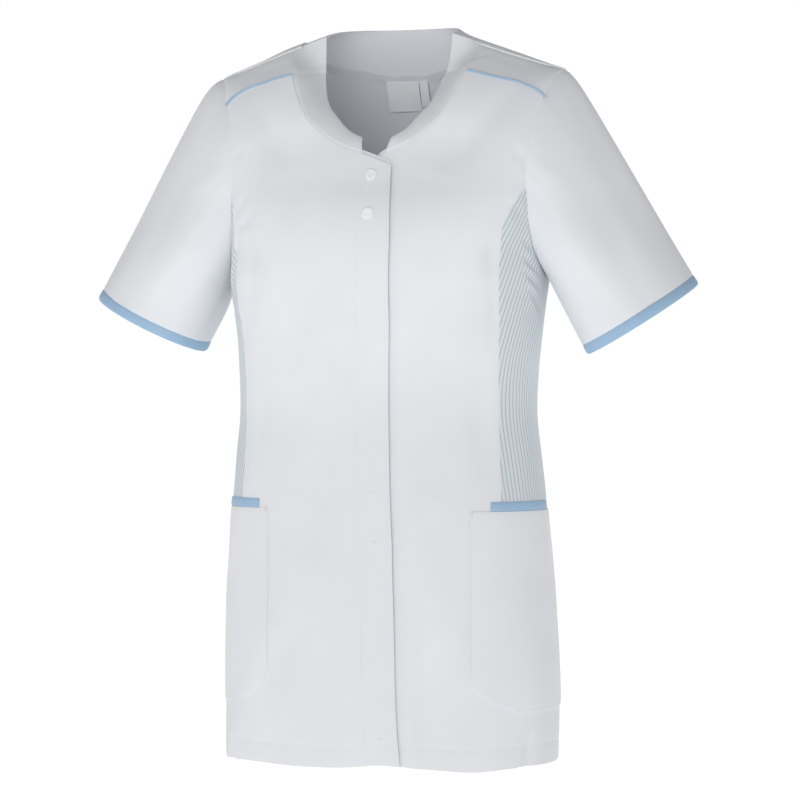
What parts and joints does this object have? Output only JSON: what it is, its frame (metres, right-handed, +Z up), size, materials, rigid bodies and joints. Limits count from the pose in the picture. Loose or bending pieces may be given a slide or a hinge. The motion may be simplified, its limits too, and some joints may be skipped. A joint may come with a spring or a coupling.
{
  "type": "work tunic",
  "caption": "A white short-sleeved work tunic with a stand collar, a concealed snap placket, striped side panels, blue piping, hip pockets and blue sleeve bindings.",
  "frame": {"origin": "the middle of the neck opening at the height of the side of the neck", "axes": "+Z up, +X towards the wearer's left, -Y towards the front"},
  "size_m": [0.6447, 0.2401, 0.7691],
  "materials": {
    "white_cloth": "matte",
    "striped_cloth": "matte",
    "blue_cloth": "matte",
    "white_plastic": "satin",
    "label_cloth": "matte"
  },
  "bodies": {
    "root": {"back": "white_cloth", "collar_back": "white_cloth", "collar_front_left": "white_cloth", "collar_front_right": "white_cloth", "front_left": "white_cloth", "front_right": "white_cloth", "neck_label": "label_cloth", "piping_left": "blue_cloth", "piping_right": "blue_cloth", "pocket_band_left": "blue_cloth", "pocket_band_right": "blue_cloth", "pocket_left": "white_cloth", "pocket_right": "white_cloth", "side_panel_left": "striped_cloth", "side_panel_right": "striped_cloth", "size_label": "label_cloth", "sleeve_binding_left": "blue_cloth", "sleeve_binding_right": "blue_cloth", "sleeve_left": "white_cloth", "sleeve_right": "white_cloth", "snap_cap_lower": "white_plastic", "snap_cap_upper": "white_plastic", "yoke_left": "white_cloth", "yoke_right": "white_cloth"}
  },
  "joints": []
}
